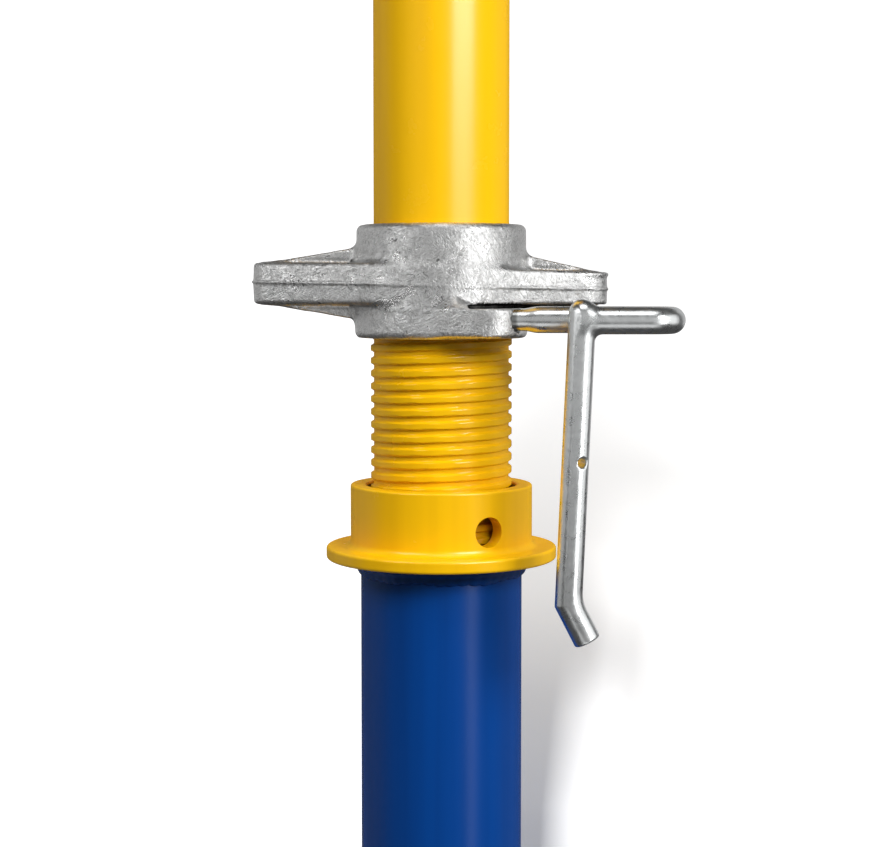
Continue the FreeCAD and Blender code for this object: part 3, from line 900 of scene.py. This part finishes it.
def wing_field(x, y, z, side, tip, roots, edge_r):
    """A tangent hull in plan, which shrinks by the draft away from the parting line, between the wing's
    two faces, joined to its webs, whose crests start at roots. The flash, and a lip at the right tip, are
    bell curves over z that stand out from the plan."""
    top, parting, under = wing_heights(x)
    plan = tangent_hull(y, side * x, BARREL_R - WING_INSET, TIP_R, tip - TIP_R)
    flash = FLASH * np.exp(-(((z - parting) / FLASH_WIDTH) ** 2))
    lip = LIP * np.exp(-(((z - top + LIP_DROP) / LIP_WIDTH) ** 2))
    lip = lip * np.clip((x - LIP_START) / LIP_FADE, 0.0, 1.0)
    plan = plan + DRAFT * np.abs(z - parting) - flash - lip
    slab = np.abs(z - (top + under) / 2.0) - (top - under) / 2.0
    wing = rounded_both(plan, slab, edge_r)
    for root, face, outward in zip(roots, (top, under), (1.0, -1.0)):
        wing = soft_min(wing, web_field(y, z, side * x, tip, root, face, outward), WEB_FILLET)
    return wing


# %% [markdown]
# The lug for the handle grows out of the barrel's front, under the right wing, with a narrow slot between
# the two. Above its flat top it leans back towards the wing, more so on the right, so that it runs into
# the barrel instead of ending in a step.

# %% The lug and the slot


def lug_field(x, y, z):
    """A tangent hull in plan from the barrel to the lug's own circle. Above LUG_TOP it shrinks by lean
    times the height, and lean grows with the square of how far right the point is."""
    distance = math.hypot(LUG_X, LUG_Y)
    ux, uy = LUG_X / distance, LUG_Y / distance
    plan = tangent_hull(ux * y - uy * x, ux * x + uy * y, BARREL_R - LUG_INSET, LUG_R, distance)
    t = np.clip((x - SLOT_START + LEAN_SETBACK) / LEAN_LENGTH, 0.0, 1.0)
    lean = LEAN_AT_LEFT + LEAN_MORE * t * t
    leaning = plan + lean * np.maximum(z - LUG_TOP, 0.0)
    low = rounded_both(leaning, LUG_FOOT - z, LUG_EDGE_R)
    return np.maximum(low, z - LUG_LIMIT)


def slot_field(x, y, z):
    """The narrow gap between lug and wing: flat, round at its left end, and as deep as the wall round the
    bore allows."""
    middle, half = (LUG_TOP + SLOT_TOP) / 2.0, (SLOT_TOP - LUG_TOP) / 2.0 + 0.15
    section = np.hypot(np.minimum(x - SLOT_START - half, 0.0), z - middle) - half
    return np.maximum(section, np.maximum(SLOT_FLOOR_R - np.hypot(x, y), y))


# %% [markdown]
# Then the holes: the threaded bore, the hinge hole for the handle and the hole for its keeper pin. The
# bore's thread has to mesh with the tube's, so it uses the same formula half a pitch further on.

# %% The holes and the dents
BORE_TOOTH, BORE_TOOTH_HALF = 1.3, 1.2
MOUTH_DEPTH, MOUTH_SLOPE = 2.2, 0.45
HINGE_HOLE_R, HINGE_HOLE_END = 5.1, 15.0
HINGE_FLARE, HINGE_FLARE_X, HINGE_FLARE_LENGTH = 0.7, 30.6, 0.8
KEEPER_X, KEEPER_Y, KEEPER_HOLE_R = 18.5, -34.9, 2.05


def nut_bore_field(x, y, z):
    """The bore, negative inside: its radius less a tooth, one minus the square of how far off the ridge
    the point is, plus a flare that grows from MOUTH_DEPTH inside each mouth."""
    along = turns_along(np.arctan2(y, x), z * MM + NUT_Z)
    offset = np.minimum(along, 1.0 - along) * PITCH / MM
    tooth = BORE_TOOTH * np.clip(1.0 - (offset / BORE_TOOTH_HALF) ** 2, 0.0, 1.0)
    mouth = np.maximum(np.maximum(MOUTH_DEPTH - z, z - (NUT_HEIGHT - MOUTH_DEPTH)), 0.0)
    tooth = tooth * np.clip(1.0 - mouth, 0.0, 1.0)
    return np.hypot(x, y) - (NUT_BORE_R + 0.05 - tooth + MOUTH_SLOPE * mouth)


def hinge_hole_field(x, y, z):
    """A round hole along x for the handle's journal, with a flare at its mouth."""
    flare = HINGE_FLARE * np.clip((x - HINGE_FLARE_X) / HINGE_FLARE_LENGTH, 0.0, 1.0)
    return np.maximum(np.hypot(y - HINGE_Y, z - HINGE_Z) - HINGE_HOLE_R - flare, HINGE_HOLE_END - x)


def keeper_hole_field(x, y, z):
    """A round hole along z for the keeper pin, up to just over the lug's top."""
    return np.maximum(np.hypot(x - KEEPER_X, y - KEEPER_Y) - KEEPER_HOLE_R, z - LUG_TOP - 1.0)


def casting_dents(x, y, z):
    """Sums of sines of a tenth of a millimetre or so, so that no face of the casting is quite flat."""
    return (0.10 * np.sin(0.31 * x + 0.9 * np.sin(0.23 * z)) * np.sin(0.27 * y + 0.19 * z)
            + 0.05 * np.sin(0.83 * x - 0.4 * y) * np.sin(0.71 * z + 0.5 * y))


# %% The wing nut
NUT_CELL = 0.85
NUT_FRONT_Y, NUT_BACK_Y = -54.0, 42.5
WING_FILLET, LUG_FILLET = 4.5, 3.5
SLOT_EDGE, HOLE_EDGE = 0.5, 0.4


def wing_nut_field(x, y, z):
    """Barrel, wings and lug joined by soft minima, less the slot, the bore and the two pin holes."""
    half = NUT_HEIGHT / 2.0
    barrel = rounded_both(np.hypot(x, y) - BARREL_R, np.abs(z - half) - half, BARREL_EDGE_R)
    left = wing_field(x, y, z, -1.0, LEFT_TIP, LEFT_WEBS, LEFT_EDGE_R)
    right = wing_field(x, y, z, 1.0, RIGHT_TIP, RIGHT_WEBS, RIGHT_EDGE_R)
    body = soft_min(barrel, np.minimum(left, right), WING_FILLET)
    body = soft_min(body, lug_field(x, y, z), LUG_FILLET)
    body = soft_max(body, -slot_field(x, y, z), SLOT_EDGE) + casting_dents(x, y, z)
    body = np.maximum(body, np.maximum(-z, z - NUT_HEIGHT))
    body = soft_max(body, -nut_bore_field(x, y, z), HOLE_EDGE)
    body = np.maximum(body, -keeper_hole_field(x, y, z))
    return soft_max(body, -hinge_hole_field(x, y, z), HOLE_EDGE)


def wing_nut_piece():
    """The field's skin, moved from millimetres above the nut's foot to its place in metres."""
    low = (-LEFT_TIP - 2.0, NUT_FRONT_Y, -1.3)
    high = (RIGHT_TIP + 2.0, NUT_BACK_Y, NUT_HEIGHT + 1.3)
    points, quads = skin_of_field(wing_nut_field, low, high, NUT_CELL)
    # Openness sets the painted shade in the casting's cracks.
    free = openness(wing_nut_field, points)
    points = points * MM + np.array([0.0, 0.0, NUT_Z])
    piece = add_piece("wing_nut_casting", points, quads, "nut", "wing_nut", CAST_ZINC, 180.0)
    return carry_openness(piece, free)


wing_nut = wing_nut_piece()

# %% [markdown]
# ## Handle
# The handle is one round bar, bent and forged. Its turned end, the journal, sits in the lug. The bar runs
# out to the right, turns back in a U, and at a forged corner meets the leg that hangs down, with a dome on
# top. A kink at the foot makes room for a hand. A bevelled curve could follow the bar, but not the forged
# corner, where two bars run into each other. So the handle is a field too.

# %% Sizes of the handle, in millimetres from the nut's foot
BAR_R, JOURNAL_R = 6.0, 5.0
JOURNAL_END, SHOULDER, TAPER = 15.3, 36.6, 7.0
GROOVE_DEPTH, GROOVE_HALF = 1.55, 2.15
BEND_X, BEND_R = 90.7, 11.0
FRONT_Y = HINGE_Y - 2.0 * BEND_R
LEG_LEAN, TIP_TURN = math.radians(2.5), math.radians(27.0)
LEG_WAY = np.array([-math.sin(LEG_LEAN), 0.0, -math.cos(LEG_LEAN)])
TIP_WAY = np.array([math.sin(TIP_TURN), 0.0, -math.cos(TIP_TURN)])
CORNER = np.array([61.4, FRONT_Y, HINGE_Z + 3.2])
LEG_LENGTH, TIP_LENGTH = 127.6, 18.6
KNEE = CORNER + LEG_WAY * LEG_LENGTH
TIP = KNEE + TIP_WAY * TIP_LENGTH
TIP_EDGE_R = 0.7
KINK_R = 22.0
CORNER_BLEND = 3.5
WIRE_HOLE_DROP, WIRE_HOLE_TURN, WIRE_HOLE_R, WIRE_HOLE_EDGE = 65.0, math.radians(30.0), 2.2, 0.8

# %% The loop


def loop_field(x, y, z):
    """Journal with its groove, the taper to the bar, and the U: straight, half a ring, and straight
    again. The taper's share is t squared times (3 - 2 t), t going from 0 to 1 along it."""
    from_hinge = np.hypot(y - HINGE_Y, z - HINGE_Z)
    grown = np.clip((x - SHOULDER) / TAPER, 0.0, 1.0)
    groove = GROOVE_DEPTH * (np.abs(x - KEEPER_X) < GROOVE_HALF)
    radius = JOURNAL_R - groove + (BAR_R - JOURNAL_R) * grown * grown * (3.0 - 2.0 * grown)
    hinge_leg = np.maximum(from_hinge - radius, np.maximum(JOURNAL_END - x, x - BEND_X))
    sweep = np.hypot(x - BEND_X, y - (HINGE_Y + FRONT_Y) / 2.0) - BEND_R
    bend = np.maximum(np.hypot(sweep, z - HINGE_Z) - BAR_R, BEND_X - x)
    from_front = np.hypot(y - FRONT_Y, z - HINGE_Z)
    front_leg = np.maximum(from_front - BAR_R, np.maximum(CORNER[0] - x, x - BEND_X))
    return np.minimum(np.minimum(hinge_leg, bend), front_leg)


# %% The shank


def shank_field(x, y, z):
    """Two straight bars meet in a mitre, sharp outside. A ring segment of radius KINK_R, tangent to both,
    rounds the inside: beyond is measured along the mitre's normal, and inside along the mitre."""
    overrun = 2.0 * BAR_R
    leg_line = from_segment(x, y, z, CORNER, KNEE + LEG_WAY * overrun)
    tip_line = from_segment(x, y, z, KNEE - TIP_WAY * overrun, TIP + TIP_WAY * overrun)
    mitre_way = (LEG_WAY + TIP_WAY) / np.linalg.norm(LEG_WAY + TIP_WAY)
    half_turn = (TIP_TURN + LEG_LEAN) / 2.0
    beyond = (x - KNEE[0]) * mitre_way[0] + (z - KNEE[2]) * mitre_way[2]
    inside = (x - KNEE[0]) * -mitre_way[2] + (z - KNEE[2]) * mitre_way[0]
    past_tip = (x - TIP[0]) * TIP_WAY[0] + (z - TIP[2]) * TIP_WAY[2]
    tip = rounded_both(np.maximum(tip_line - BAR_R, -beyond), past_tip, TIP_EDGE_R)
    straight = np.minimum(np.maximum(leg_line - BAR_R, beyond), tip)
    to_centre = KINK_R / math.cos(half_turn) - inside
    ring = np.hypot(np.hypot(to_centre, beyond) - KINK_R, y - FRONT_Y) - BAR_R
    in_wedge = np.abs(beyond) < to_centre * math.tan(half_turn)
    return np.where(in_wedge, np.minimum(ring, straight), straight)


# %% [markdown]
# Where the journal sits in the lug, and where the bar passes under the wing, the bar gets painted shade. The
# nut's own field tells how far each point of the bar is from the casting, so it gives the handle its
# openness.

# %% The handle
HANDLE_CELL = 0.62


def handle_field(x, y, z):
    """Loop and shank with a blended corner, less the wire hole, whose rim is rounded by a soft maximum."""
    body = soft_min(loop_field(x, y, z), shank_field(x, y, z), CORNER_BLEND)
    hole_at = CORNER + LEG_WAY * WIRE_HOLE_DROP
    across = (x - hole_at[0]) * math.cos(WIRE_HOLE_TURN) + (y - hole_at[1]) * math.sin(WIRE_HOLE_TURN)
    return soft_max(body, WIRE_HOLE_R - np.hypot(across, z - hole_at[2]), WIRE_HOLE_EDGE)


def handle_piece():
    """The field's skin. Openness is the distance to the casting, over 2 mm, held between 0 and 1."""
    room = BAR_R + 1.5
    low = (JOURNAL_END - 1.0, FRONT_Y - room, TIP[2] - room)
    high = (BEND_X + BEND_R + room, HINGE_Y + room, CORNER[2] + room)
    points, quads = skin_of_field(handle_field, low, high, HANDLE_CELL)
    # Openness near the casting sets the bar's painted shade.
    free = np.clip(wing_nut_field(*points.T) / 2.0, 0.0, 1.0)
    points = points * MM + np.array([0.0, 0.0, NUT_Z])
    piece = add_piece("bar_handle", points, quads, "handle", "handle", BAR_ZINC, 60.0)
    return carry_openness(piece, free)


handle = handle_piece()

# %% [markdown]
# ## Keeper pin
# A short pin stands in the lug behind the journal and sits in its groove, so the handle can swing but not
# slide out. Only its ends show. Its outline is turned round its own axis, with a hair's breadth left open
# there so that it has no pole, and then the whole array is shifted into place.

# %% The keeper pin
PIN_LOW, PIN_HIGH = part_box("handle_keeper_pin")
PIN_R, PIN_EDGE_R = (PIN_HIGH.x - PIN_LOW.x) / 2.0, 0.5 * MM
PIN_CORE_R, CORE_EDGE_R = 0.05 * MM, 0.0001 * MM


def keeper_pin_piece(columns=48):
    """A rectangle with rounded outer corners, turned about x = y = 0 and moved to the pin's middle."""
    outline = rounded_outline([
        (PIN_CORE_R, PIN_LOW.z, CORE_EDGE_R), (PIN_R, PIN_LOW.z, PIN_EDGE_R),
        (PIN_R, PIN_HIGH.z, PIN_EDGE_R), (PIN_CORE_R, PIN_HIGH.z, CORE_EDGE_R),
    ], margin=0.1 * MM)
    points = turned_points(outline[:, 0], outline[:, 1], columns)
    points[:, :2] += np.array([(PIN_LOW.x + PIN_HIGH.x) / 2.0, (PIN_LOW.y + PIN_HIGH.y) / 2.0])
    piece = add_piece("keeper_pin", points, wrapped_quads(len(outline), columns), "nut",
                      "handle_keeper_pin", BAR_ZINC)
    return carry_openness(piece, np.ones(len(points)))


keeper_pin = keeper_pin_piece()

# %% [markdown]
# ## Studio
# In a studio a product stands on paper, and more paper hangs behind it. Here a sheet rises just behind the
# prop, then leans back in a soft slope, so that the shadow of the nut and handle falls on it at the right and
# fades out upwards. It shows only its front: seen from behind it is clear, so that the prop can be looked at
# from every side.

# %% Papers


def paper(name, glow=0.1):
    """Matt near-white, with glow as light of its own."""
    material, tree, surface = node_material(name)
    surface.inputs["Base Color"].default_value = (0.9, 0.9, 0.9, 1.0)
    surface.inputs["Roughness"].default_value = 0.9
    surface.inputs["Emission Color"].default_value = (1.0, 1.0, 1.0, 1.0)
    surface.inputs["Emission Strength"].default_value = glow
    return material, tree, surface


def wall_paper(*glow_at_height):
    """Paper that glows more towards its top and mirrors less light there, 0.22 + 0.98 (1 - glow), so that
    its brightness stays the same while shadows fade; clear from behind."""
    material, tree, surface = paper("wall_paper")
    height = object_height(tree)
    tree.links.new(ramp(tree, height, *glow_at_height), surface.inputs["Emission Strength"])
    matt = [(z, 0.22 + 0.98 * (1.0 - glow)) for z, glow in glow_at_height]
    tree.links.new(ramp(tree, height, *matt), surface.inputs["Base Color"])
    geometry = add_node(tree, "ShaderNodeNewGeometry")
    clear = add_node(tree, "ShaderNodeBsdfTransparent")
    mix = add_node(tree, "ShaderNodeMixShader")
    tree.links.new(geometry.outputs["Backfacing"], mix.inputs[0])
    tree.links.new(surface.outputs[0], mix.inputs[1])
    tree.links.new(clear.outputs[0], mix.inputs[2])
    tree.links.new(mix.outputs[0], tree.nodes["Material Output"].inputs["Surface"])
    return material


def hung_paper(name, profile, half_width, material):
    """A sheet along the (y, z) profile, two half widths wide in x. Read from the bottom up, it faces the
    front; read from front to back, it faces up."""
    points = [(side * half_width, y, z) for y, z in profile for side in (-1.0, 1.0)]
    quads = [(2 * k, 2 * k + 1, 2 * k + 3, 2 * k + 2) for k in range(len(profile) - 1)]
    mesh = bpy.data.meshes.new(name)
    mesh.from_pydata(points, [], quads)
    mesh.shade_smooth()
    mesh.materials.append(material)
    item = bpy.data.objects.new(name, mesh)
    bpy.context.scene.collection.objects.link(item)
    return item


# %% Floor and wall
FLOOR_Z = FOOT_Z - 0.1 * MM
FLOOR_HALF, WALL_HALF, WALL_TOP_Z = 3.0, 1.6, 2.0
WALL_Y = 0.0615
WALL_PROFILE = [(WALL_Y, FLOOR_Z), (WALL_Y, 0.285), (0.068, 0.305), (0.20, 0.435), (0.33, 0.56),
                (0.36, 0.60), (0.37, 0.65), (0.37, WALL_TOP_Z)]
GLOW_AT_HEIGHT = [(0.30, 0.34), (0.35, 0.40), (0.376, 0.50), (0.404, 0.63), (0.434, 0.70),
                  (0.482, 0.85), (0.53, 1.0)]
floor = hung_paper("floor", [(-FLOOR_HALF, FLOOR_Z), (FLOOR_HALF, FLOOR_Z)], FLOOR_HALF,
                   paper("floor_paper", 0.5)[0])
wall = hung_paper("wall", WALL_PROFILE, WALL_HALF, wall_paper(*GLOW_AT_HEIGHT))
wall.visible_glossy = False
wall.visible_shadow = False
floor.visible_glossy = False
floor.visible_diffuse = False
print("floor at %.4f m, wall %.4f m behind the axis" % (FLOOR_Z, WALL_Y))

# %% [markdown]
# The world is white where it is looked at, like an endless backdrop. As a light source it is nearly dark,
# because light from all round would wash out the shadows, and a dark surround gives metal its edges.

# %% The world


def studio_world():
    """White in a camera ray, and 0.06 of white in every other ray."""
    world = bpy.data.worlds.new("studio")
    world.use_nodes = True
    tree = world.node_tree
    background = tree.nodes["Background"]
    path = add_node(tree, "ShaderNodeLightPath")
    level = add_node(tree, "ShaderNodeMapRange", To_Min=0.06, To_Max=1.0)
    tree.links.new(path.outputs["Is Camera Ray"], level.inputs["Value"])
    tree.links.new(level.outputs["Result"], background.inputs["Strength"])
    background.inputs["Color"].default_value = (1.0, 1.0, 1.0, 1.0)
    bpy.context.scene.world = world


studio_world()

# %% [markdown]
# ## Light
# Every light is a soft rectangular panel that faces the prop. The key stands high on the right, so it
# shades the tubes without showing in them, and a fill stands high on the left. Narrow upright strips at eye
# level draw the long highlights. Zinc mirrors whatever is round it, so it gets panels of its own, which
# light linking keeps off the paint, and the paper has its own lamp for the soft shadow on the right.

# %% A panel and what it lights


def receiver_set(name, items):
    """A collection of the only things that a panel lights; it stays out of the scene."""
    group = bpy.data.collections.new(name)
    for item in items:
        group.objects.link(item)
    return group


def panel(name, azimuth, elevation, distance, size, power, receivers, target=NUT_CENTRE):
    """Area light facing target from (sin a cos e, -cos a cos e, sin e) times distance. Azimuth a is 0 in
    front of the prop and 90 on its right; size is width and height in metres. It lights receivers only."""
    a, e = math.radians(azimuth), math.radians(elevation)
    way = Vector((math.sin(a) * math.cos(e), -math.cos(a) * math.cos(e), math.sin(e)))
    light = bpy.data.lights.new(name, "AREA")
    light.shape, light.energy = "RECTANGLE", power
    light.size, light.size_y = size
    item = bpy.data.objects.new(name, light)
    item.location = Vector(target) + way * distance
    item.rotation_euler = (-way).to_track_quat("-Z", "Y").to_euler()
    item.light_linking.receiver_collection = receivers
    bpy.context.scene.collection.objects.link(item)
    return item


PAPER = receiver_set("paper", [floor, wall])
ZINC = receiver_set("zinc", [wing_nut, handle, keeper_pin])
PAINTED = receiver_set("painted", [
    outer_tube, inner_tube, guide_collar, collar_weld, base_weld, head_weld, stop_ring, ring_weld,
    base_plate, head_plate])
OUTER_TUBE = receiver_set("outer_tube_only", [outer_tube])

# %% Light for the paint
PAINT_TARGET = Vector((0.0, 0.0, 0.5))
panel("key", 38, 28, 2.0, (1.2, 0.7), 41.0, PAINTED, PAINT_TARGET)
panel("top_fill", 20, 65, 1.6, (0.9, 0.6), 5.0, PAINTED, PAINT_TARGET)
panel("left_fill", -45, 42, 1.6, (0.9, 0.6), 8.5, PAINTED, PAINT_TARGET)
panel("strip", 43, 0, 1.0, (0.14, 1.3), 0.35, PAINTED, Vector((0.0, 0.0, 0.62)))
panel("tube_strip", 43, 0, 1.0, (0.16, 1.0), 1.0, OUTER_TUBE, Vector((0.0, 0.0, 0.45)))

# %% [markdown]
# Metal shows only what it mirrors. A ring of panels with gaps between them gives it bright and dark bands.
# One large panel would make it look like grey paint.

# %% Light for the zinc
panel("zinc_front", 0, 8, 1.1, (1.3, 0.9), 1.45, ZINC)
panel("zinc_left_front", -37, 8, 1.0, (0.12, 0.9), 0.3, ZINC)
panel("zinc_left_strip", -58, 16, 1.0, (0.16, 0.5), 1.0, ZINC)
panel("zinc_left", -92, 5, 1.0, (1.1, 0.9), 1.1, ZINC)
panel("zinc_left_back", -145, 10, 1.0, (0.9, 0.9), 1.0, ZINC)
panel("zinc_right", 47, 6, 1.0, (0.34, 1.1), 3.8, ZINC)
panel("zinc_right_side", 78, 5, 1.0, (0.6, 0.9), 1.6, ZINC)
panel("zinc_right_back", 145, 10, 1.0, (0.9, 0.9), 1.2, ZINC)
panel("zinc_low", 5, -42, 1.1, (1.0, 0.5), 1.2, ZINC)
panel("zinc_top", 10, 62, 1.1, (0.7, 0.5), 2.8, ZINC)

# %% [markdown]
# One small lamp at the front left throws the shadow on the paper. The nearer a lamp's size is to a point,
# the sharper its shadow, so the lamp's size sets how soft the shadow's edge is.

# %% Light for the paper
panel("paper_lamp", -17, 26, 1.7, (0.35, 0.35), 30.0, PAPER, Vector((0.05, 0.10, 0.40)))

# %% [markdown]
# ## Camera
# The camera stands in front at the nut's height and looks down by a few degrees, so the collar shows its
# top edge and the wings are seen edge on. It stands near, which makes the handle look larger against the
# tubes behind it. The small shift moves the picture's frame, not the camera.

# %% The camera
SENSOR, LENS = 36.0, 71.4834
LOOKS_DOWN = math.radians(3.561)
camera_data = bpy.data.cameras.new("camera")
camera_data.sensor_width = SENSOR
camera_data.lens = LENS
camera_data.shift_y = -0.03
camera = bpy.data.objects.new("camera", camera_data)
camera.location = (0.00055, -0.827, 0.57333)
camera.rotation_euler = (math.pi / 2.0 - LOOKS_DOWN, 0.0, 0.0)
bpy.context.scene.collection.objects.link(camera)
bpy.context.scene.camera = camera
bpy.context.scene.view_settings.view_transform = "Standard"
print("camera %.3f m in front of the axis, lens %.2f mm" % (-camera.location.y, camera_data.lens))
